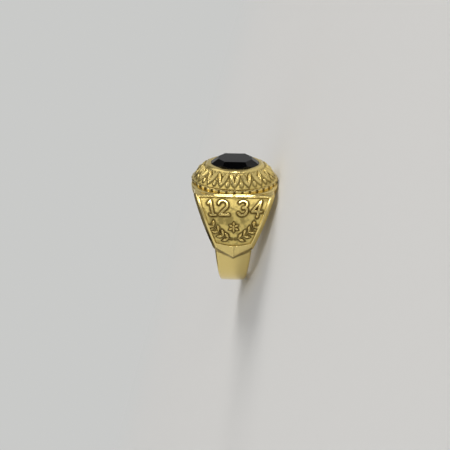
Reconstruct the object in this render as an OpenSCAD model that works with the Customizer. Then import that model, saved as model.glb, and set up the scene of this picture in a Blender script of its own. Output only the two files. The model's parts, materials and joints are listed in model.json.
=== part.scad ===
/* [Finger hole and shank] */
// Radius of the finger hole
bore_r = 9.6; // [9:0.1:10]
// Metal under the finger at the foot of the shank
foot_wall = 1.8; // [1.5:0.1:2.2]
// Height of the centre of the shank's outer arc above the centre of the hole
shank_lift = 0.4; // [0.2:0.1:0.5]
// Width of the shank at its foot
foot_w = 5.2; // [4.6:0.1:5.6]
// Width of the shank where it runs under the shoulders
shank_w = 7.2; // [6.4:0.1:7.4]
// Depth below the centre of the hole at which the shank reaches its foot width
foot_taper_z = 9; // [6:0.5:10]

/* [Shoulders] */
// Radius of the shoulders' outer arc
shoulder_r = 12.35; // [12.2:0.05:12.5]
// Height of the centre of that arc above the centre of the hole
shoulder_lift = 0.9; // [0.7:0.1:1.1]
// Width across the shoulders at the ledge under the head
shoulder_top_w = 16; // [15.4:0.1:16.4]
// Width across the shoulders at their lower corners
shoulder_low_w = 7.7; // [7.5:0.1:8.2]
// Height of those corners above the centre of the hole
corner_z = 0.5; // [0:0.1:1]
// Depth of the tip of the V below the centre of the hole
tip_drop = 1.9; // [1.2:0.1:2.6]
// Width of the raised border beside the sunk panel
border_w = 1; // [0.7:0.05:1.2]
// Depth of the sunk panel, and so the height of its relief
relief_h = 0.35; // [0.25:0.05:0.45]
// Height at which the sunk panel ends above the smooth V plate
panel_low_z = 1.8; // [1.4:0.1:2.2]

/* [Head] */
// Height of the ledge that the setting stands on
ledge_z = 10.2; // [10.1:0.1:10.5]
// Length of the head along the finger
head_l = 17.2; // [17.1:0.1:17.6]
// Radius of the head's corners seen from above
head_corner_r = 6; // [5:0.5:6.5]
// Length of the setting's rim along the finger
rim_l = 17; // [16.8:0.1:17.1]
// Width of the rim across the finger
rim_w = 15.5; // [15:0.1:15.8]
// Height of the rim
rim_h = 0.6; // [0.4:0.05:0.8]
// Length of the sloping band at its foot
band_low_l = 16.6; // [16:0.1:16.8]
// Length of the sloping band at its top
band_top_l = 11.5; // [11.2:0.1:12]
// Height of the sloping band
band_h = 2.7; // [2.4:0.1:3]
// Width of the band's oval as a share of its length
band_oval = 0.855; // [0.84:0.005:0.87]
// Zigzag periods round the band
frieze_count = 18; // [12:1:22]
// Width of a zigzag leaf at its middle
leaf_w = 0.72; // [0.5:0.02:0.8]

/* [Stone and lip] */
// Length of the stone's visible opening
opening_l = 9.6; // [9.2:0.1:10]
// Width of the stone's visible opening
opening_w = 7.6; // [7.2:0.1:8]
// Height of the smooth lip above the sloping band
lip_h = 0.26; // [0.2:0.02:0.4]
// How far the lip reaches over the stone
lip_over = 0.2; // [0.1:0.05:0.3]
// Height of the stone's table above the lip
table_rise = 0.99; // [0.8:0.01:1.2]
// Half-length of the table along the finger
table_end = 3.3; // [3:0.1:3.6]
// Half-width of the table across the finger
table_side = 2.54; // [2.3:0.02:2.7]
// Distance of the table's slanting edges from its centre
table_diag = 3.12; // [2.95:0.01:3.2]
// Space between the stone and the metal
stone_gap = 0.05; // [0.03:0.01:0.1]

/* [Hidden] */
$fn = 96;
gold = [0.83, 0.67, 0.27];
onyx = [0.03, 0.03, 0.035];

// Longer than anything in the ring, how far a solid runs into the one it stands on,
// and how far the shank runs up inside the shoulders
reach = 40;
root = 0.4;
shank_lap = 2;

// Head: height of its upright edge, the height where the flare under it leaves the shoulders,
// how far the flare runs on inside them and the cut on the shoulders' corners
cornice_h = 1.2;
cornice_foot_z = 6.8;
cornice_lap = 1;
corner_cut = 0.6;

// Panels: the border above them, and the flat top of the V plate that reaches up into them
panel_border_h = 0.35;
plate_peak_w = 1.8;
plate_peak_h = 0.5;

// Numerals: places across the ring, foot and stroke width, and the height at which their fan is natural
numeral_x = [-4.25, -2.05, 1.7, 4.4];
numeral_base = 6.2;
numeral_stroke = 0.58;
numeral_mid_z = 8.2;

// Laurel: two sprays that start beside the centre line, with pairs of leaves
spray_root = [0.35, 1.75];
spray_span = 3.9;
spray_rise = 2.9;
spray_bend = 1.6;
spray_pairs = 4;
spray_spread = 38;
spray_stem_w = 0.22;
spray_leaf_l = 1.5;
spray_leaf_w = 0.62;

// Rosette between the sprays
rosette_centre = [0, 4.1];
rosette_petals = 6;
rosette_r = 0.62;
petal_l = 0.95;
petal_w = 0.56;
berry_r = 0.27;

// Frieze: where its leaves start and end on the band, as shares of its slope, and how far they pass each other
frieze_low = 0.1;
frieze_high = 0.92;
leaf_past = 0.5;
// Its beads, in columns: place in the period, place up the slope, radius
frieze_beads = [[0, 0.24, 0.4], [0.5, 0.78, 0.3]];

// Stone: drop of its crown from the table to the opening's edge, how far past that edge its facets are drawn,
// depth of its girdle, size of its flat back, height of its seat, and the way its slanting facets face
crown_drop = 1.09;
crown_spread = 1.5;
girdle_drop = 0.56;
back_share = 0.7;
seat_z = 12.2;
diag_dir = unit([0.8, 0.6]);

// Heights and half-widths that follow from the sizes above
foot_z = -(bore_r + foot_wall);
shank_r = shank_lift - foot_z;
tip_z = -tip_drop;
rim_z = ledge_z + rim_h;
band_z = rim_z + band_h;
lip_z = band_z + lip_h;
table_z = lip_z + table_rise;
head_half_w = sqrt(shoulder_r ^ 2 - (ledge_z - shoulder_lift) ^ 2);
shoulder_slope = (shoulder_top_w - shoulder_low_w) / 2 / (ledge_z - corner_z);

// The ring lies on its side: its head's lower edge and the foot of its shank touch the surface
edge_reach = sqrt(bore_r ^ 2 - (ledge_z - cornice_h) ^ 2);
edge_points = [for (across = [0:0.02:edge_reach]) [head_half_l(across), sqrt(bore_r ^ 2 - across ^ 2)]];
rest_tilt = max([for (p = edge_points) atan((p.x - foot_w / 2) / (p.y - foot_z))]);
rest_drop = max([for (p = edge_points) p.x * cos(rest_tilt) - p.y * sin(rest_tilt)]);
rest_high = table_z * cos(rest_tilt) + table_end * sin(rest_tilt);
rest_low = foot_z * cos(rest_tilt) - foot_w / 2 * sin(rest_tilt);
rest_x = -(rest_high + rest_low) / 2;

// Half-length of the head at a distance across the finger
function head_half_l(across) =
    let(past = max(across - (head_half_w - head_corner_r), 0))
    head_l / 2 - head_corner_r + sqrt(head_corner_r ^ 2 - past ^ 2);

// Half-width of the shoulders at a height
function shoulder_half(z) =
    shoulder_low_w / 2 + (z - corner_z) * shoulder_slope;

// Points of an elliptical arc
function arc(centre, rx, ry, from, to, steps) = [
    for (i = [0:steps])
        let(a = from + (to - from) * i / steps)
        centre + [rx * cos(a), ry * sin(a)]
];

function unit(v) = v / norm(v);
function turned(p, a) = [p.x * cos(a) - p.y * sin(a), p.x * sin(a) + p.y * cos(a)];

// Sideways vector at a point of a path, lengthened at its bends
function mitre(path, i) =
    let(
        last = len(path) - 1,
        back = unit(path[max(i, 1)] - path[max(i, 1) - 1]),
        ahead = unit(path[min(i, last - 1) + 1] - path[min(i, last - 1)]),
        along = unit(back + ahead)
    )
    [-along.y, along.x] / max(along * back, 0.6);

// Outline of a stroke of one width that follows a path
function stroke(path, w) = concat(
    [for (i = [0:len(path) - 1]) path[i] + mitre(path, i) * w / 2],
    [for (i = [len(path) - 1:-1:0]) path[i] - mitre(path, i) * w / 2]
);

// Outline of a pointed leaf
function leaf(centre, angle, length, width, steps = 5) = [
    for (i = [0:2 * steps - 1])
        let(
            s = i < steps ? i / steps : 2 - i / steps,
            side = i < steps ? 1 : -1
        )
        centre + turned([(s - 0.5) * length, side * width / 2 * sin(180 * s)], angle)
];

// Solids that run along the finger, and outlines seen from beside the finger or from above the head
module along_finger(r, lift, length = reach)
    translate([0, 0, lift]) rotate([0, 90, 0]) cylinder(h = length, r = r, center = true);

module seen_from_side(points)
    rotate([90, 0, 0]) linear_extrude(reach, center = true) polygon(points);

module oval_cone(low_half, top_half, oval, height)
    scale([1, oval, 1]) cylinder(h = height, r1 = low_half, r2 = top_half);

// Both sides of an outline given by its right half
function mirrored(half) = concat(half, [for (i = [len(half) - 1:-1:0]) [-half[i].x, half[i].y]]);

module shank() {
    outline = mirrored([
        [foot_w / 2, foot_z - root],
        [foot_w / 2, -foot_taper_z],
        [shank_w / 2, corner_z],
        [shank_w / 2, corner_z + shank_lap]
    ]);
    intersection() {
        along_finger(shank_r, shank_lift);
        seen_from_side(outline);
    }
}

// Both shoulders, with the V plate that closes them below
module shoulder_plates() {
    outline = concat(
        mirrored([
            [shoulder_low_w / 2, corner_z],
            [shoulder_half(ledge_z - corner_cut), ledge_z - corner_cut],
            [shoulder_top_w / 2 - corner_cut, ledge_z]
        ]),
        [[0, tip_z]]
    );
    intersection() {
        along_finger(shoulder_r, shoulder_lift);
        seen_from_side(outline);
    }
}

// What is cut from the shoulders to leave the sunk panels inside their borders
module panel_hollows() {
    inset = border_w * norm([1, shoulder_slope]);
    top_z = ledge_z - panel_border_h;
    outline = mirrored([
        [plate_peak_w / 2, panel_low_z - plate_peak_h],
        [shoulder_half(panel_low_z) - inset, panel_low_z],
        [shoulder_half(top_z) - inset, top_z]
    ]);
    difference() {
        seen_from_side(outline);
        along_finger(shoulder_r - relief_h, shoulder_lift, 2 * reach);
    }
}

// Place on a shoulder, given across the ring and along the shoulder's arc from its widest point
function on_shoulder(p, fan = 0) =
    let(z = shoulder_lift + shoulder_r * sin(p.y / shoulder_r * 180 / PI))
    [p.x * (1 + fan * (shoulder_half(z) / shoulder_half(numeral_mid_z) - 1)), z];

// Middle lines of the raised numerals' strokes
function numeral_paths(n) =
    n == 1 ? [[[-0.5, 2.45], [0, 3.1], [0, 0.27]], [[-0.55, 0.27], [0.55, 0.27]]]
    : n == 2 ? [concat(arc([0, 2.25], 0.82, 0.86, 165, -35, 8), [[-0.88, 0.3], [1.05, 0.3]])]
    : n == 3 ? [arc([-0.05, 2.35], 0.75, 0.75, 150, -80, 7), arc([-0.05, 1.05], 0.88, 0.78, 85, -155, 8)]
    : [[[0.4, 0], [0.4, 3.13], [-0.85, 1.05], [1, 1.05]]];

module numerals()
    for (k = [0:3])
        for (path = numeral_paths(k + 1))
            polygon([
                for (p = stroke(path, numeral_stroke))
                    on_shoulder(p + [numeral_x[k], numeral_base], 1)
            ]);

// Place along the stem of the right-hand spray
function spray_at(s) = spray_root + [spray_span * s, spray_rise * pow(s, spray_bend)];

module shaped_leaf(centre, angle, length, width, side)
    polygon([
        for (p = leaf([centre.x, centre.y], angle, length, width))
            on_shoulder([side * p.x, p.y])
    ]);

// Raised laurel sprays round a rosette
module laurel() {
    for (side = [-1, 1]) {
        stem = [for (i = [0:2 * spray_pairs]) spray_at(i / (2 * spray_pairs))];
        polygon([for (p = stroke(stem, spray_stem_w)) on_shoulder([side * p.x, p.y])]);
        for (i = [0:spray_pairs - 1]) {
            s = (i + 0.5) / spray_pairs;
            ahead = spray_at(s + 0.05) - spray_at(s - 0.05);
            heading = atan2(ahead.y, ahead.x);
            for (spread = [-spray_spread, spray_spread])
                shaped_leaf(
                    spray_at(s) + turned([spray_leaf_l / 2, 0], heading + spread),
                    heading + spread, spray_leaf_l, spray_leaf_w, side
                );
        }
    }
    for (k = [0:rosette_petals - 1]) {
        a = 90 + 360 * k / rosette_petals;
        shaped_leaf(rosette_centre + turned([rosette_r, 0], a), a, petal_l, petal_w, 1);
    }
    polygon([for (p = arc(rosette_centre, berry_r, berry_r, 0, 330, 11)) on_shoulder(p)]);
}

// Relief of the shoulder on the near side
module shoulder_relief()
    intersection() {
        along_finger(shoulder_r, shoulder_lift);
        rotate([90, 0, 0]) linear_extrude(reach / 2) {
            numerals();
            laurel();
        }
    }

// The ledge under the setting, with its rounded corners and flared underside
module cornice() {
    corner = [head_l / 2 - head_corner_r, head_half_w - head_corner_r];
    quarter = arc(corner, head_corner_r, head_corner_r, 0, 90, 8);
    upper = concat(quarter, [for (i = [len(quarter) - 1:-1:0]) [-quarter[i].x, quarter[i].y]]);
    plan = concat(upper, [for (i = [len(upper) - 1:-1:0]) [upper[i].x, -upper[i].y]]);
    flare = (head_l / 2 - shoulder_half(cornice_foot_z)) / (ledge_z - cornice_h - cornice_foot_z);
    side = mirrored([
        [shoulder_half(cornice_foot_z) - cornice_lap * flare, cornice_foot_z - cornice_lap],
        [head_l / 2, ledge_z - cornice_h],
        [head_l / 2, ledge_z]
    ]);
    intersection() {
        linear_extrude(reach, center = true) polygon(plan);
        seen_from_side(side);
        along_finger(shoulder_r, shoulder_lift);
    }
}

module rim()
    translate([0, 0, ledge_z - root]) oval_cone(rim_l / 2, rim_l / 2, rim_w / rim_l, rim_h + root);

module band()
    translate([0, 0, rim_z]) oval_cone(band_low_l / 2, band_top_l / 2, band_oval, band_h);

module lip()
    translate([0, 0, band_z]) oval_cone(band_top_l / 2, band_top_l / 2 - lip_h, band_oval, lip_h);

// Place on the sloping band, given round it and up its slope
function on_band(turn, up) =
    let(half = (band_low_l + (band_top_l - band_low_l) * up) / 2)
    [half * cos(turn), band_oval * half * sin(turn)];

// Zigzag of leaves with a bead in each bend, seen from above
module frieze_plan() {
    step = 360 / frieze_count;
    for (k = [0:frieze_count - 1])
        for (way = [-1, 1]) {
            low = on_band((k + 0.5) * step, frieze_low);
            high = on_band((k + 0.5 + way / 2) * step, frieze_high);
            run = high - low;
            polygon(leaf((low + high) / 2, atan2(run.y, run.x), norm(run) + leaf_past, leaf_w, 4));
        }
    for (k = [0:frieze_count - 1])
        for (bead = frieze_beads) {
            centre = on_band((k + bead[0]) * step, bead[1]);
            polygon(arc(centre, bead[2], bead[2], 0, 330, 11));
        }
}

module frieze()
    intersection() {
        translate([0, 0, rim_z]) linear_extrude(band_h) frieze_plan();
        translate([0, 0, rim_z + relief_h * sqrt(2) - band_h])
            oval_cone(band_low_l / 2 + band_h, band_top_l / 2, band_oval, 2 * band_h);
    }

// Corners of an eight-sided outline from the distances of its sides from the centre
function octagon(side, diag, end) =
    let(
        a = [(diag - side * diag_dir.y) / diag_dir.x, side],
        b = [end, (diag - end * diag_dir.x) / diag_dir.y]
    )
    [
        b, a, [-a.x, a.y], [-b.x, b.y],
        [-b.x, -b.y], [-a.x, -a.y], [a.x, -a.y], [b.x, -b.y]
    ];

function ring_points(outline, z) = [for (p = outline) [p.x, p.y, z]];

// The stone: a flat table, eight crown facets, an oval girdle and a faceted back
module gem(grow) {
    edge_end = opening_l / 2;
    edge_side = opening_w / 2;
    edge_diag = norm([edge_end * diag_dir.x, edge_side * diag_dir.y]);
    top = octagon(table_side + grow, table_diag + grow, table_end + grow);
    wide = octagon(
        table_side + (edge_side - table_side) * crown_spread + grow,
        table_diag + (edge_diag - table_diag) * crown_spread + grow,
        table_end + (edge_end - table_end) * crown_spread + grow
    );
    wide_z = table_z - crown_drop * crown_spread + grow;
    points = concat(
        ring_points(top, table_z + grow),
        ring_points(wide, wide_z),
        ring_points(wide, wide_z - girdle_drop - 2 * grow),
        ring_points(wide * back_share, seat_z + stone_gap - grow)
    );
    sides = [
        for (r = [0:2])
            for (i = [0:7])
                let(j = (i + 1) % 8)
                [8 * r + i, 8 * r + j, 8 * r + 8 + j, 8 * r + 8 + i]
    ];
    girdle = [edge_end, edge_side] + [1, 1] * (lip_over + grow);
    intersection() {
        polyhedron(points, concat([[for (i = [7:-1:0]) i]], sides, [[for (i = [24:31]) i]]));
        translate([0, 0, seat_z - root])
            oval_cone(girdle.x, girdle.x, girdle.y / girdle.x, table_z - seat_z + 2 * root);
    }
}

// Room for the stone, and the lip's oval opening above it
module stone_seat() {
    gem(stone_gap);
    translate([0, 0, band_z - root])
        oval_cone(opening_l / 2, opening_l / 2, opening_w / opening_l, lip_h + 2 * root);
}

// Turns the upright ring to lie as it rests, with the middle of its base at the origin
module lay_down()
    translate([rest_x, 0, rest_drop]) rotate([0, 90 - rest_tilt, 0]) children();

module ring_casting()
    color(gold) lay_down() difference() {
        union() {
            shank();
            difference() {
                shoulder_plates();
                panel_hollows();
            }
            for (turn = [0, 180])
                rotate([0, 0, turn]) shoulder_relief();
            cornice();
            rim();
            band();
            lip();
            frieze();
        }
        along_finger(bore_r, 0);
        stone_seat();
    }

module onyx_stone()
    color(onyx) lay_down() gem(0);

ring_casting();
onyx_stone();
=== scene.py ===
import json
from math import atan, cos, pi, radians, sin

import bmesh
import bpy
import numpy as np
from mathutils import Matrix, Vector


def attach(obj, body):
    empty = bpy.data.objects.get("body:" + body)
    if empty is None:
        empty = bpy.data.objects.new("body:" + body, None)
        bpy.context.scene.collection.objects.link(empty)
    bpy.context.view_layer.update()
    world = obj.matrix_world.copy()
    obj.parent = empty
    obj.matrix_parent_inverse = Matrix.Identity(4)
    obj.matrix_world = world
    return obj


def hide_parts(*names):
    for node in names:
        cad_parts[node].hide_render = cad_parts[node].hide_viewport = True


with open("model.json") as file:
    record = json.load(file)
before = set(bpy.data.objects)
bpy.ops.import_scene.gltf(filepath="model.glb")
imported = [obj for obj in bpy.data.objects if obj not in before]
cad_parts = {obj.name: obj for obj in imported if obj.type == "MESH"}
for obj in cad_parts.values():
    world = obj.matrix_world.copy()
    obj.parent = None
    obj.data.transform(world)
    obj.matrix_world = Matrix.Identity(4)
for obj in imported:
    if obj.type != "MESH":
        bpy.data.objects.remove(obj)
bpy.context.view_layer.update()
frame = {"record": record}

# Shapes are worked out in millimetres on the upright ring: x runs along the finger, z up through the stone,
# and the camera sees the shoulder on the -y side. The finger hole's mount says how the ring lies.
fingerHole = next(mount for mount in frame["record"]["mounts"] if mount["name"] == "finger_bore")
holeCentre = Vector(fingerHole["pos_m"])
alongFinger = -Vector(fingerHole["axis"]).normalized()
acrossRing = Vector((0, 1, 0))
upRing = alongFinger.cross(acrossRing)
ringAxes = np.array([alongFinger, acrossRing, upRing])
millimetre = 0.001
tiny = 1e-6          # keeps a division from meeting zero
farAway = 99.0       # further than any two places on the ring


def inScene(points):
    return np.asarray(points, float) @ ringAxes * millimetre + np.array(holeCentre)


def ramp(low, high, value):    # smooth, 0 at the low value and 1 at the high one
    t = np.clip((value - low) / (high - low), 0, 1)
    return t * t * (3 - 2 * t)


def rampUnder(top, drops, z):    # 0 at the first drop under the top, 1 at the second
    return ramp(top - drops[0], top - drops[1], z)


# A form is each place's distance from a surface, below zero inside it
def roundEdge(a, b, radius):    # what lies inside both, its edge rounded
    over = np.hypot(np.maximum(a + radius, 0), np.maximum(b + radius, 0))
    return np.minimum(np.maximum(a, b), -radius) + over


def fillCorner(a, b, radius):    # both joined, with a fillet between them
    under = np.hypot(np.maximum(radius - a, 0), np.maximum(radius - b, 0))
    return np.maximum(np.minimum(a, b), radius) - under


def slant(a, b, wide, deep):    # bevel that takes wide off surface b and deep off surface a
    return (deep * a + wide * b + wide * deep) / np.hypot(wide, deep)


def ovalDistance(x, y, halfLong, halfWide):
    f = np.sqrt((x / halfLong) ** 2 + (y / halfWide) ** 2)
    slope = np.sqrt((x / halfLong**2) ** 2 + (y / halfWide**2) ** 2)
    return f * (f - 1) / np.maximum(slope, tiny)


# A relief is drawn on a flat chart: how far inside its motifs each place is, and how high they are raised
chartMargin = 1.001    # cells left at the far edges, so that a reading has places all round it


def blankChart(low, high, step):
    u = np.arange(low[0], high[0] + step, step)
    v = np.arange(low[1], high[1] + step, step)
    u, v = np.meshgrid(u, v, indexing="ij")
    chart = {"low": low, "step": step, "inside": np.full(u.shape, -farAway), "raised": np.zeros(u.shape)}
    return chart, u, v


def readChart(chart, layer, u, v):
    grid = chart[layer]
    i = np.clip((u - chart["low"][0]) / chart["step"], 0, grid.shape[0] - chartMargin)
    j = np.clip((v - chart["low"][1]) / chart["step"], 0, grid.shape[1] - chartMargin)
    i0, j0 = i.astype(int), j.astype(int)
    s, t = i - i0, j - j0
    near = grid[i0, j0] * (1 - t) + grid[i0, j0 + 1] * t
    far = grid[i0 + 1, j0] * (1 - t) + grid[i0 + 1, j0 + 1] * t
    return near * (1 - s) + far * s


def addMotif(chart, inside, height):
    chart["inside"] = np.maximum(chart["inside"], inside)
    chart["raised"] = np.maximum(chart["raised"], height)


def addBead(chart, u, v, centre, radius, height=1):
    inside = radius - np.hypot(u - centre[0], v - centre[1])
    addMotif(chart, inside, height * np.sqrt(np.clip(inside / radius, 0, 1)))


def pathDistance(u, v, path):
    nearest = np.full(u.shape, farAway)
    for (ax, ay), (bx, by) in zip(path, path[1:]):
        dx, dy = bx - ax, by - ay
        along = np.clip(((u - ax) * dx + (v - ay) * dy) / (dx * dx + dy * dy), 0, 1)
        nearest = np.minimum(nearest, np.hypot(u - ax - along * dx, v - ay - along * dy))
    return nearest


def arcPath(centre, rx, ry, start, end, steps=14):
    turns = [radians(start + (end - start) * i / steps) for i in range(steps + 1)]
    return [(centre[0] + rx * cos(a), centre[1] + ry * sin(a)) for a in turns]


# A pointed leaf with a domed face and a groove along its middle vein
leaf = {
    "edge": 0.05,        # the dome starts this far outside the outline
    "domeShare": 0.3,    # of the leaf's width, over which the dome rises
    "veinDepth": 0.3,    # share of the dome's height
    "veinHalf": 0.05,
}


def addLeaf(chart, u, v, centre, angle, length, width):
    du, dv = u - centre[0], v - centre[1]
    s = (du * cos(angle) + dv * sin(angle)) / length + 0.5
    fromVein = np.abs(dv * cos(angle) - du * sin(angle))
    pastTip = np.maximum(np.abs(s - 0.5) - 0.5, 0) * length
    inside = width / 2 * np.sin(pi * np.clip(s, 0, 1)) - fromVein - pastTip
    dome = ramp(-leaf["edge"], leaf["domeShare"] * width, inside)
    groove = leaf["veinDepth"] * np.exp(-((fromVein / leaf["veinHalf"]) ** 2))
    addMotif(chart, inside, dome * (1 - groove))


# Shank
shank = {
    "radius": 11.8,
    "lift": 0.4,         # of its outer face's centre over the finger hole's
    "footHalf": 2.6,     # half its width at the foot, and at the shoulders
    "topHalf": 3.6,
    "footZ": -9,
    "topZ": 0.5,
    "lap": 2,            # how far it reaches up into the shoulders
    "crown": 0.012,      # how much its outer face is domed across
    "edgeRound": 0.5,
}


def shankForm(x, y, z):
    half = np.interp(z, [shank["footZ"], shank["topZ"]], [shank["footHalf"], shank["topHalf"]])
    outer = np.hypot(y, z - shank["lift"]) - shank["radius"] + shank["crown"] * x**2
    form = roundEdge(outer, np.abs(x) - half, shank["edgeRound"])
    return np.maximum(form, z - shank["topZ"] - shank["lap"])


# Shoulders, with a sunk panel, and the V plate that closes them below
shoulder = {
    "radius": 12.35,
    "lift": 0.9,         # of its face's centre over the finger hole's
    "topZ": 10.2,
    "topHalf": 8.0,
    "cornerZ": 0.5,      # where the sides meet the V, whose tip is lower
    "cornerHalf": 3.85,
    "tipZ": -1.9,
    "sideBevel": (0.62, 0.7),    # across the face, down the side
    "veeBevel": (0.75, 0.5),
    "bevelRound": 0.1,
    "topCorner": 0.6,
    "border": 1.0,       # raised metal beside the panel, and over it
    "topBorder": 0.35,
    "panelLowZ": 1.8,
    "peakHalf": 0.9,     # flat part of the panel's pointed foot, and how far it drops
    "peakDrop": 0.5,
    "sunk": 0.35,        # the panel's depth, and how far in its wall slopes
    "wall": 0.16,
    "spineHeight": 0.03,     # low ridge down the middle
    "spineHalf": 0.16,
    "chart": ((-7.8, -3.2), (7.8, 12.6), 0.03),    # low corner, high corner, step
    "reliefFrom": (-0.3, -0.2),      # distances inside the panel's edge, from none to all
    "grainFrom": 0.05,
    "grainEnds": (0.25, 0.75),       # shares of the motifs' height
    "paintedShadeOut": (-0.42, -0.13),    # painted shade round the motifs, from none to most
    # painted shade along the foot of the panel's wall: its strength, and distances inside the panel's edge
    # from none to most
    "wallPaintedShade": 0.7,
    "wallReach": (0.34, 0.1),
}
sideSlope = (shoulder["topHalf"] - shoulder["cornerHalf"]) / (shoulder["topZ"] - shoulder["cornerZ"])
sideCos = cos(atan(sideSlope))


def shoulderHalf(z):
    return shoulder["cornerHalf"] + (z - shoulder["cornerZ"]) * sideSlope


def shoulderLevel(y, z):    # height over the shoulder's face
    return np.hypot(y, z - shoulder["lift"]) - shoulder["radius"]


# Plain counting numerals, as strokes
numerals = {
    "places": [-4.25, -2.05, 1.7, 4.4],    # across the shoulder, from its middle
    "base": 6.2,
    "naturalZ": 8.2,     # height where the fan leaves their width as drawn
    "half": 0.29,        # half a stroke's width
    "edge": 0.02,
    "wall": 0.15,
}


def numeralPaths(n):    # in millimetres from the middle of its foot
    return {
        1: [[(-0.5, 2.45), (0, 3.1), (0, 0.27)], [(-0.55, 0.27), (0.55, 0.27)]],
        2: [arcPath((0, 2.25), 0.82, 0.86, 165, -35) + [(-0.88, 0.3), (1.05, 0.3)]],
        3: [arcPath((-0.05, 2.35), 0.75, 0.75, 150, -80), arcPath((-0.05, 1.05), 0.88, 0.78, 85, -155)],
        4: [[(0.4, 0), (0.4, 3.13), (-0.85, 1.05), (1, 1.05)]],
    }[n]


def addNumerals(chart, u, v, z):    # they fan out as the shoulder widens
    fan = shoulderHalf(z) / shoulderHalf(numerals["naturalZ"])
    inside = np.full(u.shape, -farAway)
    for n, place in enumerate(numerals["places"], 1):
        for path in numeralPaths(n):
            away = pathDistance(u / fan - place, v - numerals["base"], path)
            inside = np.maximum(inside, numerals["half"] - away)
    addMotif(chart, inside, ramp(-numerals["edge"], numerals["wall"], inside))


# Laurel sprays round a rosette
laurel = {
    "root": (0.35, 1.75),    # foot of a stem, and how far out and up its tip is
    "span": 3.9,
    "rise": 2.9,
    "bend": 1.6,
    "stemSteps": 12,
    "stemHalf": 0.11,
    "stemEdge": 0.04,
    "stemHeight": 0.55,  # share of the leaves' height
    "pairs": 4,
    "spread": radians(38),
    "headingReach": 0.05,    # a leaf takes its heading from this share of the stem on each side
    "leafSize": (1.5, 0.62),
    "rosetteCentre": (0, 4.1),
    "petals": 6,
    "petalAt": 0.62,
    "petalSize": (0.95, 0.56),
    "berry": 0.27,
    "berryHeight": 1.1,
}


def sprayAt(s):
    return laurel["root"][0] + laurel["span"] * s, laurel["root"][1] + laurel["rise"] * s ** laurel["bend"]


def addSpray(chart, u, v):
    stem = [sprayAt(i / laurel["stemSteps"]) for i in range(laurel["stemSteps"] + 1)]
    inStem = laurel["stemHalf"] - pathDistance(u, v, stem)
    addMotif(chart, inStem, laurel["stemHeight"] * ramp(-laurel["stemEdge"], laurel["stemHalf"], inStem))
    length, width = laurel["leafSize"]
    for i in range(laurel["pairs"]):
        s = (i + 0.5) / laurel["pairs"]
        x, y = sprayAt(s)
        (x0, y0), (x1, y1) = sprayAt(s - laurel["headingReach"]), sprayAt(s + laurel["headingReach"])
        for turn in (-laurel["spread"], laurel["spread"]):
            angle = np.arctan2(y1 - y0, x1 - x0) + turn
            centre = (x + length / 2 * cos(angle), y + length / 2 * sin(angle))
            addLeaf(chart, u, v, centre, angle, length, width)


def addRosette(chart, u, v):
    cu, cv = laurel["rosetteCentre"]
    for k in range(laurel["petals"]):
        angle = pi / 2 + 2 * pi * k / laurel["petals"]
        centre = (cu + laurel["petalAt"] * cos(angle), cv + laurel["petalAt"] * sin(angle))
        addLeaf(chart, u, v, centre, angle, *laurel["petalSize"])
    addBead(chart, u, v, laurel["rosetteCentre"], laurel["berry"], laurel["berryHeight"])


def panelInside(u, v, z):    # how far inside the sunk panel's edge
    inset = shoulder["border"] / sideCos
    rise = (shoulder["topZ"] - shoulder["topBorder"] - shoulder["lift"]) / shoulder["radius"]
    topV = shoulder["radius"] * np.arcsin(rise)
    lowEnd = shoulderHalf(shoulder["panelLowZ"]) - inset
    share = np.clip((np.abs(u) - shoulder["peakHalf"]) / (lowEnd - shoulder["peakHalf"]), 0, 1)
    lowZ = shoulder["panelLowZ"] - shoulder["peakDrop"] * (1 - share)
    inside = np.minimum((shoulderHalf(z) - inset - np.abs(u)) * sideCos, topV - v)
    return np.minimum(inside, z - lowZ)


def shoulderChart():
    chart, u, v = blankChart(*shoulder["chart"])
    z = shoulder["lift"] + shoulder["radius"] * np.sin(v / shoulder["radius"])
    addNumerals(chart, u, v, z)
    for side in (-1, 1):
        addSpray(chart, side * u, v)
    addRosette(chart, u, v)

    inPanel = panelInside(u, v, z)
    sunk = ramp(0, shoulder["wall"], inPanel)
    spine = shoulder["spineHeight"] * np.exp(-((u / shoulder["spineHalf"]) ** 2))
    chart["height"] = spine - shoulder["sunk"] * sunk * (1 - chart["raised"])
    grain = ramp(shoulder["grainFrom"], shoulder["wall"], inPanel)
    chart["ground"] = grain * (1 - ramp(*shoulder["grainEnds"], chart["raised"]))
    # painted shade on the ground round the motifs and along the foot of the panel's wall
    wallFootShade = shoulder["wallPaintedShade"] * ramp(*shoulder["wallReach"], inPanel)
    chart["foot"] = chart["ground"] * np.maximum(ramp(*shoulder["paintedShadeOut"], chart["inside"]), wallFootShade)
    chart["relief"] = ramp(*shoulder["reliefFrom"], inPanel)
    return chart


def shoulderPlace(x, y, z):    # place on the chart; the far shoulder is the near one turned round
    v = shoulder["radius"] * np.arctan2(z - shoulder["lift"], np.abs(y))
    return np.where(y > 0, -x, x), v


def veeDistance(x, z):
    drop = shoulder["cornerZ"] - shoulder["tipZ"]
    run = np.hypot(drop, shoulder["cornerHalf"])
    return (drop * np.abs(x) - shoulder["cornerHalf"] * (z - shoulder["tipZ"])) / run


def veeBevel(x, y, z):
    return slant(veeDistance(x, z), shoulderLevel(y, z), *shoulder["veeBevel"])


def shoulderForm(x, y, z):
    level = shoulderLevel(y, z)
    face = level - readChart(shoulderRelief, "height", *shoulderPlace(x, y, z))
    side = (np.abs(x) - shoulderHalf(z)) * sideCos
    bevels = np.maximum(slant(side, level, *shoulder["sideBevel"]), veeBevel(x, y, z))
    form = roundEdge(face, bevels, shoulder["bevelRound"])
    form = np.maximum(form, roundEdge(side, z - shoulder["topZ"], shoulder["topCorner"]))
    return np.maximum(form, veeDistance(x, z))


# Ledge under the setting
ledge = {
    "topZ": 10.2,
    "halfLong": 8.6,
    "halfWide": 8.126,
    "corner": 6,
    "flareZ": (6.8, 9.0),
    "flareRound": 0.5,
    "edgeRound": 0.22,
}


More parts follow.
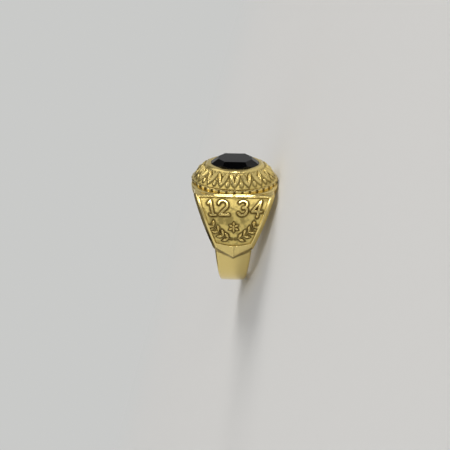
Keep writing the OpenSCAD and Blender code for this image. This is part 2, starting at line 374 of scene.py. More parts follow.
def ledgeForm(x, y, z):
    qx = np.abs(x) - ledge["halfLong"] + ledge["corner"]
    qy = np.abs(y) - ledge["halfWide"] + ledge["corner"]
    pastCorner = np.hypot(np.maximum(qx, 0), np.maximum(qy, 0))
    plan = pastCorner + np.minimum(np.maximum(qx, qy), 0) - ledge["corner"]
    lowZ, highZ = ledge["flareZ"]
    lowHalf = shoulderHalf(lowZ)
    rise, spread = highZ - lowZ, ledge["halfLong"] - lowHalf
    flare = (rise * (np.abs(x) - lowHalf) - spread * (z - lowZ)) / np.hypot(rise, spread)
    outer = np.maximum(roundEdge(plan, flare, ledge["flareRound"]), shoulderLevel(y, z))
    return np.maximum(roundEdge(outer, z - ledge["topZ"], ledge["edgeRound"]), lowZ - z)


# Rim of the setting, with a row of long beads round it
rim = {
    "halfLong": 8.5,
    "halfWide": 7.75,
    "topZ": 10.8,
    "lap": 0.4,          # how far it reaches down into the ledge
    "edgeRound": 0.1,
    "beads": 34,
    "beadHalf": 0.7,     # along the row
    "beadRadius": 0.29,
    "beadOut": -0.06,    # from the rim's wall to the row
    "beadZ": 10.47,
    "rowSteps": 2000,
}


def beadOval():
    return rim["halfLong"] + rim["beadOut"], rim["halfWide"] + rim["beadOut"]


def beadRow():    # turns round the row, and the way along it to each
    a, b = beadOval()
    turns = np.linspace(-pi, pi, rim["rowSteps"] + 1)
    steps = np.hypot(np.diff(a * np.cos(turns)), np.diff(b * np.sin(turns)))
    return turns, np.concatenate([[0], np.cumsum(steps)])


def rimForm(x, y, z):
    outside = ovalDistance(x, y, rim["halfLong"], rim["halfWide"])
    form = roundEdge(outside, z - rim["topZ"], rim["edgeRound"])
    form = np.maximum(form, ledge["topZ"] - rim["lap"] - z)
    turns, reached = beadRow()
    a, b = beadOval()
    s = np.interp(np.arctan2(y / b, x / a), turns, reached)
    pitch = reached[-1] / rim["beads"]
    alongRow = s - np.round(s / pitch) * pitch
    across = np.hypot(outside - rim["beadOut"], z - rim["beadZ"])
    bead = (np.hypot(alongRow / rim["beadHalf"], across / rim["beadRadius"]) - 1) * rim["beadRadius"]
    return np.minimum(form, bead)


# Sloping band, with a frieze of zigzag leaves and beads, and the smooth lip above it
setting = {
    "lowZ": 10.8,
    "bandTopZ": 13.5,
    "lipZ": 13.76,
    "lap": 0.4,          # how far it reaches down into the rim
    "lowHalf": 8.3,
    "topHalf": 5.75,
    "oval": 0.855,       # width over length
    "lipRound": 0.2,
    "periods": 18,
    "friezeLow": 0.1,    # share of the way up the slope
    "friezeHigh": 0.92,
    "leafPast": 0.5,
    "leafWidth": 0.84,
    "relief": 0.35,
    "reliefTop": (-0.1, 0.25),    # under the band's top, from no relief to all of it
    "beads": [(0, 0.24, 0.4), (0.5, 0.78, 0.3)],    # place in the period, place up the slope, radius
    "chart": ((-8.8, -7.6), (8.8, 7.6), 0.035),     # low corner, high corner, step
    "grainEnds": (0.2, 0.7),         # shares of the motifs' height
    "paintedShadeOut": (-0.22, -0.03),    # painted shade round the motifs, from none to most
    "paintedShadeShare": 0.85,
}
bandSlope = (setting["lowHalf"] - setting["topHalf"]) / (setting["bandTopZ"] - setting["lowZ"])


def bandPlace(turn, up):
    half = setting["lowHalf"] + (setting["topHalf"] - setting["lowHalf"]) * up
    return half * cos(turn), setting["oval"] * half * sin(turn)


def friezeChart():
    chart, x, y = blankChart(*setting["chart"])
    step = 2 * pi / setting["periods"]
    for k in range(setting["periods"]):
        x0, y0 = bandPlace((k + 0.5) * step, setting["friezeLow"])
        for way in (-1, 1):
            x1, y1 = bandPlace((k + 0.5 + way / 2) * step, setting["friezeHigh"])
            centre = ((x0 + x1) / 2, (y0 + y1) / 2)
            angle = np.arctan2(y1 - y0, x1 - x0)
            length = np.hypot(x1 - x0, y1 - y0) + setting["leafPast"]
            addLeaf(chart, x, y, centre, angle, length, setting["leafWidth"])
        for place, up, radius in setting["beads"]:
            addBead(chart, x, y, bandPlace((k + place) * step, up), radius)

    chart["height"] = setting["relief"] * chart["raised"]
    chart["ground"] = 1 - ramp(*setting["grainEnds"], chart["raised"])
    # painted shade on the ground round the foot of the leaves and beads
    chart["foot"] = setting["paintedShadeShare"] * chart["ground"] * ramp(*setting["paintedShadeOut"], chart["inside"])
    return chart


def bandDistance(x, y, z):
    around = np.sqrt(x**2 + (y / setting["oval"]) ** 2)
    half = setting["lowHalf"] - bandSlope * (z - setting["lowZ"])
    steep = np.sqrt((x**2 + (y / setting["oval"] ** 2) ** 2) / np.maximum(around, tiny) ** 2 + bandSlope**2)
    return (around - half) / steep


def settingForm(x, y, z):
    relief = readChart(friezeRelief, "height", x, y) * rampUnder(setting["bandTopZ"], setting["reliefTop"], z)
    form = roundEdge(bandDistance(x, y, z) - relief, z - setting["lipZ"], setting["lipRound"])
    return np.maximum(form, setting["lowZ"] - setting["lap"] - z)


# Stone: table, eight crown facets, oval neck and girdle, and a plain back
stone = {
    "halfLong": 4.8,     # of the opening that shows it
    "halfWide": 3.8,
    "tableEnd": 3.3,     # from the middle to the table's end, side and slanting edges
    "tableSide": 2.54,
    "tableDiag": 3.12,
    "diagWay": (0.8, 0.6),    # which way the slanting edges face
    "tableZ": 14.75,
    "crownDrop": 1.09,
    "spread": 1.5,       # the facets are drawn this far past the opening's edge
    "girdleDrop": 0.56,
    "lipOver": 0.2,
    "neckZ": 13.45,      # from here up the stone is as wide as the opening
    "backShare": 0.7,
    "backZ": 12.25,
    "seatGap": 0.05,
    "wallSteps": 96,
    "levelWithin": 1e-4,
    "mergeAngle": radians(0.4),
    "facetAngle": radians(8),
    "sharpAngle": radians(5),
    "bevel": 0.02,
    "bevelFrom": 0.1,    # over the neck's foot
}


def octagon(side, diag, end):    # corners of an outline whose edges lie this far from the middle
    wayX, wayY = stone["diagWay"]
    a = ((diag - side * wayY) / wayX, side)
    b = (end, (diag - end * wayX) / wayY)
    half = [b, a, (-a[0], a[1]), (-b[0], b[1])]
    return half + [(-x, -y) for x, y in half]


def stoneRings():    # corners of the table, of the facets' wide end, of the girdle's foot and of the back
    wayX, wayY = stone["diagWay"]
    edgeDiag = np.hypot(stone["halfLong"] * wayX, stone["halfWide"] * wayY)
    top = (stone["tableSide"], stone["tableDiag"], stone["tableEnd"])
    edge = (stone["halfWide"], edgeDiag, stone["halfLong"])
    wide = octagon(*[t + (e - t) * stone["spread"] for t, e in zip(top, edge)])
    back = [(x * stone["backShare"], y * stone["backShare"]) for x, y in wide]
    outlines = (octagon(*top), wide, wide, back)
    wideZ = stone["tableZ"] - stone["crownDrop"] * stone["spread"]
    heights = (stone["tableZ"], wideZ, wideZ - stone["girdleDrop"], stone["backZ"])
    return [[Vector((x, y, z)) for x, y in outline] for outline, z in zip(outlines, heights)]


def stonePlanes(upper, lower):    # outward normal and distance of each facet between two rings
    planes = []
    for i, corner in enumerate(upper):
        following = upper[(i + 1) % len(upper)]
        normal = (following - corner).cross(lower[i] - corner).normalized()
        if normal.x * corner.x + normal.y * corner.y < 0:
            normal = -normal
        planes.append((normal, normal.dot(corner)))
    return planes


def stoneOvals():    # half sizes of the girdle under the lip and of the neck in the opening
    return [
        (stone["halfLong"] + more, stone["halfWide"] + more)
        for more in (stone["lipOver"], -stone["seatGap"])
    ]


def stoneForm(x, y, z, grow):
    top, wide, low, back = stoneRings()
    form = np.maximum(z - stone["tableZ"], stone["backZ"] - z)
    for normal, distance in stonePlanes(top, wide) + stonePlanes(low, back):
        form = np.maximum(form, normal.x * x + normal.y * y + normal.z * z - distance)
    girdle, neck = [ovalDistance(x, y, *halves) for halves in stoneOvals()]
    return np.maximum(form, np.minimum(np.maximum(girdle, z - stone["neckZ"]), neck)) - grow


# How the casting's regions run together, and what is cut out of it
casting = {
    "shankFillet": 0.12,
    "ledgeFillet": 0.3,
    "settingFillet": 0.08,
    "holeRadius": 9.6,
    "holeRound": 0.3,
    "openingDrop": 0.4,  # the lip's opening starts this far under the band's top
    "openingRound": 0.1,
}


def castingForm(x, y, z):
    form = fillCorner(shankForm(x, y, z), shoulderForm(x, y, z), casting["shankFillet"])
    form = fillCorner(form, ledgeForm(x, y, z), casting["ledgeFillet"])
    form = np.minimum(form, rimForm(x, y, z))
    form = fillCorner(form, settingForm(x, y, z), casting["settingFillet"])
    form = roundEdge(form, casting["holeRadius"] - np.hypot(y, z), casting["holeRound"])
    openingZ = setting["bandTopZ"] - casting["openingDrop"]
    opening = np.maximum(ovalDistance(x, y, stone["halfLong"], stone["halfWide"]), openingZ - z)
    form = roundEdge(form, -opening, casting["openingRound"])
    return np.maximum(form, -stoneForm(x, y, z, stone["seatGap"]))


# Mesh of the casting: a grid of distances, one point for each cell that the surface crosses, then each
# point is slid onto the surface itself
meshing = {
    "low": (-9.0, -12.7, -11.7),
    "high": (9.0, 12.7, 14.1),
    "step": 0.11,
    "slab": 12,          # rows of the grid worked out at a time
    "firstSlides": (0.5, 2),     # most that a point moves, in steps, and how many times
    "lastSlides": (0.125, 1),
    "slideReach": 0.02,
    "normalReach": 0.03,
    "leastSlope": 0.25,  # squared
    "triangles": 196000,
    "flat": radians(5),  # thinning leaves a point where the surface turns more than this beside it
}


def distanceGrid():
    axes = [np.arange(a, b, meshing["step"]) for a, b in zip(meshing["low"], meshing["high"])]
    grid = np.empty([len(axis) for axis in axes], np.float32)
    for start in range(0, len(axes[0]), meshing["slab"]):
        rows = slice(start, start + meshing["slab"])
        grid[rows] = castingForm(*np.meshgrid(axes[0][rows], axes[1], axes[2], indexing="ij"))
    return grid


def surfaceCells(grid):
    solid = grid < 0
    cornersInside = sum(
        solid[i : i - 1 or None, j : j - 1 or None, k : k - 1 or None].astype(np.int8)
        for i in (0, 1)
        for j in (0, 1)
        for k in (0, 1)
    )
    cells = np.argwhere((cornersInside > 0) & (cornersInside < 8))
    total = np.zeros((len(cells), 3))
    hits = np.zeros(len(cells))
    for axis in range(3):    # a cell's point is the middle of where the surface cuts its twelve edges
        others = [a for a in range(3) if a != axis]
        for p in (0, 1):
            for q in (0, 1):
                start = np.zeros(3, int)
                start[others[0]], start[others[1]] = p, q
                end = start.copy()
                end[axis] = 1
                a = grid[tuple((cells + start).T)]
                b = grid[tuple((cells + end).T)]
                crossed = (a < 0) != (b < 0)
                along = np.where(crossed, a / np.where(crossed, a - b, 1), 0)
                total[crossed] += start + (end - start) * along[crossed, None]
                hits += crossed
    points = (cells + total / hits[:, None]) * meshing["step"] + np.array(meshing["low"])
    return solid, cells, points


def surfaceFaces(solid, cells):    # four-sided, one across each grid edge that the surface cuts
    number = np.full(solid.shape, -1, np.int32)
    number[tuple(cells.T)] = np.arange(len(cells))
    faces = []
    for axis in range(3):
        u, v = (axis + 1) % 3, (axis + 2) % 3
        first = np.take(solid, range(0, solid.shape[axis] - 1), axis)
        second = np.take(solid, range(1, solid.shape[axis]), axis)
        for outward in (True, False):
            at = np.argwhere((first & ~second) if outward else (~first & second))
            corners = []
            for du, dv in ((-1, -1), (0, -1), (0, 0), (-1, 0)):
                place = at.copy()
                place[:, u] += du
                place[:, v] += dv
                corners.append(number[tuple(place.T)])
            quads = np.stack(corners, 1)
            faces.append(quads if outward else quads[:, ::-1])
    return np.concatenate(faces)


def slopeAt(points, reach):
    slope = np.empty(points.shape)
    for axis in range(3):
        shift = np.zeros(3)
        shift[axis] = reach
        slope[:, axis] = castingForm(*(points + shift).T) - castingForm(*(points - shift).T)
    return slope / (2 * reach)


def normalsAt(points):
    slope = slopeAt(points, meshing["normalReach"])
    return slope / np.linalg.norm(slope, axis=1)[:, None]


def slideOn(points, share, rounds):
    most = share * meshing["step"]
    for _ in range(rounds):
        slope = slopeAt(points, meshing["slideReach"])
        away = castingForm(*points.T) / np.maximum((slope**2).sum(1), meshing["leastSlope"])
        points = points - slope * np.clip(away, -most, most)[:, None]
    return points


def newMesh(name, points, faces):
    mesh = bpy.data.meshes.new(name)
    mesh.vertices.add(len(points))
    mesh.vertices.foreach_set("co", np.asarray(points, np.float32).ravel())
    sides = faces.shape[1]
    mesh.loops.add(faces.size)
    mesh.loops.foreach_set("vertex_index", faces.astype(np.int32).ravel())
    mesh.polygons.add(len(faces))
    mesh.polygons.foreach_set("loop_start", np.arange(0, faces.size, sides, dtype=np.int32))
    mesh.update(calc_edges=True)
    return mesh


def newObject(name, mesh):
    piece = bpy.data.objects.new(name, mesh)
    bpy.context.scene.collection.objects.link(piece)
    return piece


def thinned(mesh, triangles, mayGo):
    piece = newObject("thinning", mesh)
    piece.vertex_groups.new(name="mayGo").add(np.flatnonzero(mayGo).tolist(), 1, "REPLACE")
    fewer = piece.modifiers.new("fewer", "DECIMATE")
    fewer.vertex_group = "mayGo"
    fewer.ratio = min(1, triangles / (2 * len(mesh.polygons)))
    evaluated = piece.evaluated_get(bpy.context.evaluated_depsgraph_get())
    result = bpy.data.meshes.new_from_object(evaluated)
    bpy.data.objects.remove(piece)
    return result


def meshPoints(mesh):
    flat = np.empty(len(mesh.vertices) * 3, np.float32)
    mesh.vertices.foreach_get("co", flat)
    return flat.reshape(-1, 3).astype(float)


# Where the reliefs are, and where shade is painted dark: behind the rim's beads and on the bevel under the V
# plate. Pairs run from none to all.
marks = {
    "near": (0.6, 0.5),          # distance from the surface that a relief is on
    "panelTop": (0.3, 0.45),     # under the ledge's top
    "bandFoot": (0, -0.05),      # under the band's foot
    "bandTop": (0.05, 0.3),      # under the band's top
    "rimWall": (0.3, 0.1),       # distance from the wall behind the beads
    "rimTop": (0.02, 0.15),      # under the rim's top
    "rimFoot": (0.1, 0),         # under the ledge's top
    "beadFace": 0.12,            # the beads' outer faces start this far out and get no painted shade
    "beadFade": (0.04, -0.06),
    "veeNear": (0.07, 0.02),     # distance from the bevel under the V plate
    "veeDepth": (0.08, 1.2),     # under the plate's face, from where to where
    "veeShadeShare": 0.75,
}


def reliefPlaces(points):    # share of each point that is on a shoulder's face, and on the sloping band
    x, y, z = points.T
    onShoulder = ramp(*marks["near"], np.abs(shoulderLevel(y, z)))
    onShoulder = onShoulder * rampUnder(ledge["topZ"], marks["panelTop"], z) * (z > shoulder["tipZ"])
    onBand = ramp(*marks["near"], np.abs(bandDistance(x, y, z)))
    onBand = onBand * rampUnder(setting["lowZ"], marks["bandFoot"], z)
    return onShoulder, onBand * rampUnder(setting["bandTopZ"], marks["bandTop"], z)


def plainMetal(points):    # where no relief is, so that the mesh may be thinned
    onShoulder, onBand = reliefPlaces(points)
    onPanel = onShoulder * readChart(shoulderRelief, "relief", *shoulderPlace(*points.T))
    return (onPanel < 0.5) & (onBand < 0.5)


def flatPlaces(points, faces):
    normals = normalsAt(points)
    turned = np.zeros(len(points))
    for k in range(4):
        a, b = faces[:, k], faces[:, (k + 1) % 4]
        turn = 1 - (normals[a] * normals[b]).sum(1)
        np.maximum.at(turned, a, turn)
        np.maximum.at(turned, b, turn)
    return turned < 1 - cos(meshing["flat"])


# How the metal is finished at each point: 1 on grained ground, and painted shade, 1 where recesses, the gaps
# behind the rim's beads and the step under the V plate are painted dark
def finishAndPaintedShadeAt(points):
    x, y, z = points.T
    onShoulder, onBand = reliefPlaces(points)
    ground, paintedShade = [
        onShoulder * readChart(shoulderRelief, layer, *shoulderPlace(x, y, z))
        + onBand * readChart(friezeRelief, layer, x, y)
        for layer in ("ground", "foot")
    ]
    # painted shade in the gaps behind the rim's beads, their outer faces left bright
    onRim = ramp(*marks["rimWall"], np.abs(ovalDistance(x, y, rim["halfLong"], rim["halfWide"])))
    onRim = onRim * rampUnder(rim["topZ"], marks["rimTop"], z) * rampUnder(ledge["topZ"], marks["rimFoot"], z)
    faceLong, faceWide = rim["halfLong"] + marks["beadFace"], rim["halfWide"] + marks["beadFace"]
    paintedShade = np.maximum(paintedShade, onRim * ramp(*marks["beadFade"], ovalDistance(x, y, faceLong, faceWide)))
    # painted shade on the bevel of the step under the V plate
    depth = -shoulderLevel(y, z)
    onVee = ramp(*marks["veeNear"], np.abs(veeBevel(x, y, z)))
    onVee = onVee * (depth > marks["veeDepth"][0]) * (depth < marks["veeDepth"][1])
    paintedShade = np.maximum(paintedShade, marks["veeShadeShare"] * onVee)
    return np.clip(ground, 0, 1), np.clip(paintedShade, 0, 1)


def ringCasting():
    solid, cells, points = surfaceCells(distanceGrid())
    faces = surfaceFaces(solid, cells)
    points = slideOn(points, *meshing["firstSlides"])
    mayGo = plainMetal(points) & flatPlaces(points, faces)
    mesh = thinned(newMesh("castingFine", points, faces), meshing["triangles"], mayGo)
    points = slideOn(meshPoints(mesh), *meshing["lastSlides"])
    ground, paintedShade = finishAndPaintedShadeAt(points)
    normals = normalsAt(points)
    mesh.vertices.foreach_set("co", inScene(points).astype(np.float32).ravel())
    # the grain share and the painted shade are stored on the points as attributes
    for name, values in (("ground", ground), ("paintedShade", paintedShade)):
        layer = mesh.attributes.new(name, "FLOAT", "POINT")
        layer.data.foreach_set("value", values.astype(np.float32))
    mesh.shade_smooth()
    mesh.normals_split_custom_set_from_vertices((normals @ ringAxes).tolist())
    mesh.update()
    return newObject("ringCasting", mesh)


def edgeTurns(upper, lower, halves):    # where the lines between facets meet an upright oval wall
    turns = []
    for a, b in zip(upper, lower):
        d = b - a
        qa = (d.x / halves[0]) ** 2 + (d.y / halves[1]) ** 2
        qb = 2 * (a.x * d.x / halves[0] ** 2 + a.y * d.y / halves[1] ** 2)
        qc = (a.x / halves[0]) ** 2 + (a.y / halves[1]) ** 2 - 1
        s = (-qb + (qb * qb - 4 * qa * qc) ** 0.5) / (2 * qa)
        turns.append(np.arctan2((a.y + d.y * s) / halves[1], (a.x + d.x * s) / halves[0]))
    return turns


def wallPoints(turns, halves, planes, pick, level):    # an oval wall's edge on the facets, and one at a level
    points = []
    for turn in turns:
        x, y = halves[0] * cos(turn), halves[1] * sin(turn)
        points.append(Vector((x, y, pick((d - n.x * x - n.y * y) / n.z for n, d in planes))))
        points.append(Vector((x, y, level)))
    return points


def addHull(gem, points):
    hull = bmesh.ops.convex_hull(gem, input=[gem.verts.new(point) for point in points])
    loose = [v for v in hull["geom_interior"] + hull["geom_unused"] if isinstance(v, bmesh.types.BMVert)]
    bmesh.ops.delete(gem, geom=loose, context="VERTS")


# The part over the neck's foot and the part under it are hulls, and a level ring joins them
def onyxStone():
    top, wide, low, back = stoneRings()
    crown, under = stonePlanes(top, wide), stonePlanes(low, back)
    girdle, neck = stoneOvals()
    neckZ = stone["neckZ"]
    evenTurns = np.linspace(-pi, pi, stone["wallSteps"] + 1)[:-1]
    turns = sorted([*evenTurns, *edgeTurns(top, wide, neck)])
    gem = bmesh.new()
    addHull(gem, top + wallPoints(turns, neck, crown, min, neckZ))
    addHull(gem, back + wallPoints(turns, girdle, under, max, neckZ))
    bmesh.ops.dissolve_limit(gem, angle_limit=stone["mergeAngle"], verts=gem.verts, edges=gem.edges)
    between = [f for f in gem.faces if max(abs(v.co.z - neckZ) for v in f.verts) < stone["levelWithin"]]
    bmesh.ops.delete(gem, geom=between, context="FACES_ONLY")
    bmesh.ops.bridge_loops(gem, edges=[e for e in gem.edges if e.is_boundary])
    bevelZ = neckZ + stone["bevelFrom"]
    cut = [e for e in gem.edges if min(v.co.z for v in e.verts) > bevelZ]
    cut = [e for e in cut if e.calc_face_angle(0) > stone["facetAngle"]]
    bmesh.ops.bevel(gem, geom=cut, offset=stone["bevel"], segments=2, profile=0.5, affect="EDGES")
    bmesh.ops.recalc_face_normals(gem, faces=gem.faces)
    for vertex in gem.verts:
        vertex.co = inScene([vertex.co])[0]
    mesh = bpy.data.meshes.new("onyxStone")
    gem.to_mesh(mesh)
    gem.free()
    mesh.shade_smooth()
    mesh.set_sharp_from_angle(angle=stone["sharpAngle"])
    return newObject("onyxStone", mesh)


# Node helpers
def addNode(tree, kind, **settings):
    node = tree.nodes.new("ShaderNode" + kind)
    for name, value in settings.items():
        if name in node.inputs:
            node.inputs[name].default_value = value
        else:
            setattr(node, name, value)
    return node


def feed(tree, socket, value):    # by a link where the value comes out of another node
    if isinstance(value, bpy.types.NodeSocket):
        tree.links.new(value, socket)
    else:
        socket.default_value = value


def maths(tree, operation, a, b):
    node = addNode(tree, "Math", operation=operation)
    feed(tree, node.inputs[0], a)
    feed(tree, node.inputs[1], b)
    return node.outputs[0]


def times(tree, a, b):
    return maths(tree, "MULTIPLY", a, b)


def plus(tree, a, b):
    return maths(tree, "ADD", a, b)


def mixColours(tree, share, a, b):
    node = addNode(tree, "Mix", data_type="RGBA")
    for place, value in ((0, share), (6, a), (7, b)):    # 6 and 7 are its colour sockets
        feed(tree, node.inputs[place], value)
    return node.outputs[2]


def smoothShare(tree, value, low, high):    # 0 at the low value, 1 at the high one
    share = addNode(tree, "MapRange", interpolation_type="SMOOTHSTEP")
    for socket, given in (("From Min", low), ("From Max", high), ("Value", value)):
        feed(tree, share.inputs[socket], given)
    return share.outputs["Result"]


def noiseAt(tree, place, size, detail):    # size in millimetres
    noise = addNode(tree, "TexNoise", Scale=1 / (size * millimetre), Detail=detail)
    tree.links.new(place, noise.inputs["Vector"])
    return noise.outputs["Fac"]


def newFinish(name):
    finish = bpy.data.materials.new(name)
    finish.use_nodes = True
    tree = finish.node_tree
    shader = tree.nodes["Principled BSDF"]
    return finish, tree, shader


# Each noise is its size in millimetres and its detail, and heights are in millimetres
goldLook = {
    "polished": (0.87, 0.69, 0.265, 1),
    "grained": (0.82, 0.645, 0.215, 1),
    # dark brown painted into the recesses as shade; the brown stain patches use it too
    "paintedShade": (0.075, 0.042, 0.01, 1),
    "paintedShadeLeast": 0.5,         # share of the painted shade that stays where wear is least
    "paintedShadeWear": 0.7,
    "polishRoughness": 0.17,
    "grainRoughness": 0.36,
    "paintedShadeRoughness": 0.5,
    "wearNoise": (1.1, 4),       # cloudy wear on the polish
    "wearRoughness": 0.1,
    "stainNoise": (1.7, 3),      # brown stain left in patches on the grained ground
    "stainRange": (0.47, 0.64),
    "stainShare": 0.5,
    "grainNoise": (0.09, 3),
    "grainHeight": 0.012,
    "mottleNoise": (0.45, 2),
    "mottleHeight": 0.085,
    "grainOnPolish": 0.06,       # share of grain and mottling left on the polish
    "waveNoise": (1.6, 1),
    "waveHeight": 0.02,
}


def goldFinish():
    finish, tree, shader = newFinish("castGold")
    look = goldLook
    place = addNode(tree, "TexCoord").outputs["Object"]
    ground = addNode(tree, "Attribute", attribute_name="ground").outputs["Fac"]
    # painted shade: an attribute that turns recesses, the gaps behind the rim's beads and the step under the
    # V plate dark brown
    paintedShade = addNode(tree, "Attribute", attribute_name="paintedShade").outputs["Fac"]
    wear = noiseAt(tree, place, *look["wearNoise"])

    uneven = plus(tree, times(tree, wear, look["paintedShadeWear"]), look["paintedShadeLeast"])
    stain = smoothShare(tree, noiseAt(tree, place, *look["stainNoise"]), *look["stainRange"])
    stain = times(tree, times(tree, stain, look["stainShare"]), ground)
    # the painted shade, made uneven by the wear noise, together with the real brown stain patches
    paintedShadeAndStain = maths(tree, "MAXIMUM", times(tree, paintedShade, uneven), stain)
    paintedShadeAndStain = maths(tree, "MINIMUM", paintedShadeAndStain, 1)
    colour = mixColours(tree, ground, look["polished"], look["grained"])
    colour = mixColours(tree, paintedShadeAndStain, colour, look["paintedShade"])
    tree.links.new(colour, shader.inputs["Base Color"])
    shader.inputs["Metallic"].default_value = 1

    rough = times(tree, ground, look["grainRoughness"] - look["polishRoughness"])
    rough = plus(tree, rough, look["polishRoughness"] - look["wearRoughness"] / 2)
    rough = plus(tree, rough, times(tree, wear, look["wearRoughness"]))
    rough = maths(tree, "MAXIMUM", rough, times(tree, paintedShadeAndStain, look["paintedShadeRoughness"]))
    tree.links.new(rough, shader.inputs["Roughness"])

    grain = times(tree, noiseAt(tree, place, *look["grainNoise"]), look["grainHeight"])
    mottle = times(tree, noiseAt(tree, place, *look["mottleNoise"]), look["mottleHeight"])
    wave = times(tree, noiseAt(tree, place, *look["waveNoise"]), look["waveHeight"])
    grainShare = plus(tree, times(tree, ground, 1 - look["grainOnPolish"]), look["grainOnPolish"])
    height = plus(tree, times(tree, plus(tree, grain, mottle), grainShare), wave)
    bump = addNode(tree, "Bump", Strength=1.0, Distance=millimetre)
    tree.links.new(height, bump.inputs["Height"])
    tree.links.new(bump.outputs["Normal"], shader.inputs["Normal"])
    return finish


onyxLook = {
    "colour": (0.001, 0.001, 0.0012, 1),
    "bandColour": (0.0025, 0.0025, 0.003, 1),
    "bandNoise": (2.5, 2),
    "roughness": 0.05,
    "smear": 0.06,
    "smearNoise": (0.8, 4),
    "refraction": 1.54,
    "shine": 0.24,
}


def onyxFinish():
    finish, tree, shader = newFinish("blackOnyx")
    look = onyxLook
    place = addNode(tree, "TexCoord").outputs["Object"]
    banding = noiseAt(tree, place, *look["bandNoise"])
    colour = mixColours(tree, banding, look["colour"], look["bandColour"])
    tree.links.new(colour, shader.inputs["Base Color"])
    smear = times(tree, noiseAt(tree, place, *look["smearNoise"]), look["smear"])
    rough = plus(tree, smear, look["roughness"] - look["smear"] / 2)
    tree.links.new(rough, shader.inputs["Roughness"])
    shader.inputs["IOR"].default_value = look["refraction"]
    shader.inputs["Specular IOR Level"].default_value = look["shine"]
    return finish


def dress(piece, finish, node):
    piece.data.materials.clear()
    piece.data.materials.append(finish)
    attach(piece, "root")
    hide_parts(node)


shoulderRelief = shoulderChart()
friezeRelief = friezeChart()
print("relief charts drawn")

metal = ringCasting()
dress(metal, goldFinish(), "ring_casting")
print("casting made:", len(metal.data.polygons), "faces")

gemstone = onyxStone()
dress(gemstone, onyxFinish(), "onyx_stone")
print("stone made:", len(gemstone.data.polygons), "faces")

# The camera sees the near shoulder from the photograph's angle. Up in its picture is up through the stone,
# so it is turned on its side as the ring is. Lengths are in millimetres, places in the picture in pixels.
cameraLook = {
    "distance": 137.5,
    "rise": radians(25.4),
    "lookAt": (0, 0, 0.3),
    "focalPixels": 660,
    "ringPixel": (233.7, 223.0),
    "imagePixels": 450,
    "lean": radians(0.8),
    "sensor": 36,
    "near": 10,
    "far": 10000,
}


def viewAxes(place, target):    # right and up in the picture, and back toward the camera
    back = (place - target).normalized()
    right = upRing.cross(back).normalized()
    return right, back.cross(right).normalized(), back


def placeCamera():
    look = cameraLook
    centre = Vector(inScene([look["lookAt"]])[0])
    reach = look["distance"] * millimetre
    place = centre + (upRing * sin(look["rise"]) - acrossRing * cos(look["rise"])) * reach
    middle = look["imagePixels"] / 2
    perPixel = reach / look["focalPixels"]
    right, upward, _ = viewAxes(place, centre)
    target = centre - right * (look["ringPixel"][0] - middle) * perPixel
    target = target + upward * (look["ringPixel"][1] - middle) * perPixel
    turned = Matrix(viewAxes(place, target)).transposed() @ Matrix.Rotation(look["lean"], 3, "Z")
    data = bpy.data.cameras.new("photoCamera")
    data.sensor_width = look["sensor"]
    data.lens = data.sensor_width / 2 / (middle / look["focalPixels"])
    data.clip_start = look["near"] * millimetre
    data.clip_end = look["far"] * millimetre
    camera = bpy.data.objects.new("photoCamera", data)
    camera.matrix_world = Matrix.Translation(place) @ turned.to_4x4()
    bpy.context.scene.collection.objects.link(camera)
    bpy.context.scene.camera = camera


placeCamera()
print("camera placed")

# Floor, and room light as flat tones: the wall all round, and each patch over it toward its own side.
# The room is in metres, z is up, the camera is toward -y, and the stone's table faces +x and a little up.
studio = {
    "backdrop": (0.585, 0.59, 0.58, 1),
    "floorColour": (0.8, 0.8, 0.79, 1),
    "floorRoughness": 0.75,
    "floorRadius": 3.0,
    "floorSides": 96,
    "fade": (0.05, 0.5),    # distances over which the floor turns into the backdrop
    "wall": (0.6, 0.6, 0.59, 1),
    "patches": [    # toward, cosines of the angles to it where the tone starts and where it is full, tone
        ((0, 0, 1), 0.3, 0.75, (0.3, 0.3, 0.305, 1)),    # ceiling
        ((0.48, -0.05, 0.87), 0.82, 0.94, (1.0, 0.99, 0.96, 1)),
        ((0.28, -0.36, 0.89), 0.975, 0.992, (3.2, 3.1, 3.0, 1)),    # lamp
        ((-0.5, 0.25, 0.8), 0.75, 0.9, (0.13, 0.13, 0.14, 1)),
        ((-0.87, 0.15, 0.47), 0.976, 0.988, (0.02, 0.02, 0.025, 1)),
        ((-0.1, -0.98, 0.15), 0.85, 0.95, (0.72, 0.72, 0.71, 1)),    # behind the camera
        ((0.64, -0.74, 0.2), 0.94, 0.98, (0.34, 0.34, 0.34, 1)),
        ((0.846, -0.469, 0.253), 0.965, 0.99, (1.0, 0.98, 0.95, 1)),
        ((0.7, -0.35, 0.62), 0.95, 0.985, (0.95, 0.93, 0.9, 1)),
        ((0.88, 0.38, 0.27), 0.88, 0.96, (0.3, 0.28, 0.27, 1)),
        ((0.957, -0.035, 0.287), 0.927, 0.965, (0.03, 0.03, 0.035, 1)),    # straight over the table
        ((0.42, 0.475, 0.775), 0.95, 0.985, (0.2, 0.2, 0.2, 1)),
        ((0.32, 0.94, 0.1), 0.9, 0.96, (0.42, 0.42, 0.42, 1)),    # behind the ring
    ],
}

# A soft key light from behind throws the shadow, and a small lamp makes the sparkle. Places are in metres.
lamps = {
    "keyFrom": (0.26, 0.5, 0.24),
    "keyStrength": 2.2,
    "keyAngle": radians(26),
    "sparkleAt": (0.36, -0.2, 0.108),
    "sparkleSize": 0.05,
    "sparklePower": 0.1,
    "colour": (1.0, 0.98, 0.95),
}


def addLamp(kind, name, place, power):
    data = bpy.data.lights.new(name, kind)
    data.energy = power
    data.color = lamps["colour"]
    lamp = bpy.data.objects.new(name, data)
    lamp.location = place
    lamp.rotation_mode = "QUATERNION"
    lamp.rotation_quaternion = Vector(place).to_track_quat("Z", "Y")
    bpy.context.scene.collection.objects.link(lamp)
    return lamp


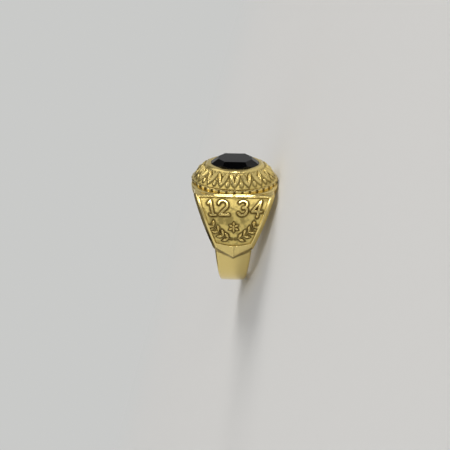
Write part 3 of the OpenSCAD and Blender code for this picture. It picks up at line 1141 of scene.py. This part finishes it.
def studioLamps():
    key = addLamp("SUN", "key", lamps["keyFrom"], lamps["keyStrength"])
    key.data.angle = lamps["keyAngle"]
    key.visible_glossy = False
    sparkle = addLamp("AREA", "sparkle", lamps["sparkleAt"], lamps["sparklePower"])
    sparkle.data.shape = "DISK"
    sparkle.data.size = lamps["sparkleSize"]


def studioFloor(height):
    disc = bmesh.new()
    bmesh.ops.create_circle(disc, cap_ends=True, segments=studio["floorSides"], radius=studio["floorRadius"])
    mesh = bpy.data.meshes.new("floor")
    disc.to_mesh(mesh)
    disc.free()
    floor = newObject("floor", mesh)
    floor.location.z = height
    finish, tree, shader = newFinish("paleFloor")
    shader.inputs["Base Color"].default_value = studio["floorColour"]
    shader.inputs["Roughness"].default_value = studio["floorRoughness"]
    place = addNode(tree, "TexCoord").outputs["Object"]
    away = addNode(tree, "VectorMath", operation="LENGTH")
    tree.links.new(place, away.inputs[0])
    fade = smoothShare(tree, away.outputs["Value"], *studio["fade"])
    glow = addNode(tree, "Emission", Color=studio["backdrop"])
    mix = addNode(tree, "MixShader")
    for socket, output in zip(mix.inputs, (fade, shader.outputs[0], glow.outputs[0])):
        tree.links.new(output, socket)
    tree.links.new(mix.outputs[0], tree.nodes["Material Output"].inputs["Surface"])
    mesh.materials.append(finish)


def studioWorld():
    world = bpy.data.worlds.new("studio")
    bpy.context.scene.world = world
    world.use_nodes = True
    tree = world.node_tree
    background = tree.nodes["Background"]
    place = addNode(tree, "TexCoord").outputs["Generated"]
    room = studio["wall"]
    for way, start, full, tone in studio["patches"]:
        toward = addNode(tree, "VectorMath", operation="DOT_PRODUCT")
        tree.links.new(place, toward.inputs[0])
        toward.inputs[1].default_value = Vector(way).normalized()
        share = smoothShare(tree, toward.outputs["Value"], start, full)
        room = mixColours(tree, share, room, tone)
    seen = addNode(tree, "LightPath").outputs["Is Camera Ray"]    # the camera sees a plain backdrop
    tree.links.new(mixColours(tree, seen, room, studio["backdrop"]), background.inputs["Color"])


studioLamps()
studioFloor(min(vertex.co.z for vertex in metal.data.vertices))
studioWorld()
bpy.context.scene.view_settings.view_transform = "Standard"
print("studio lit")
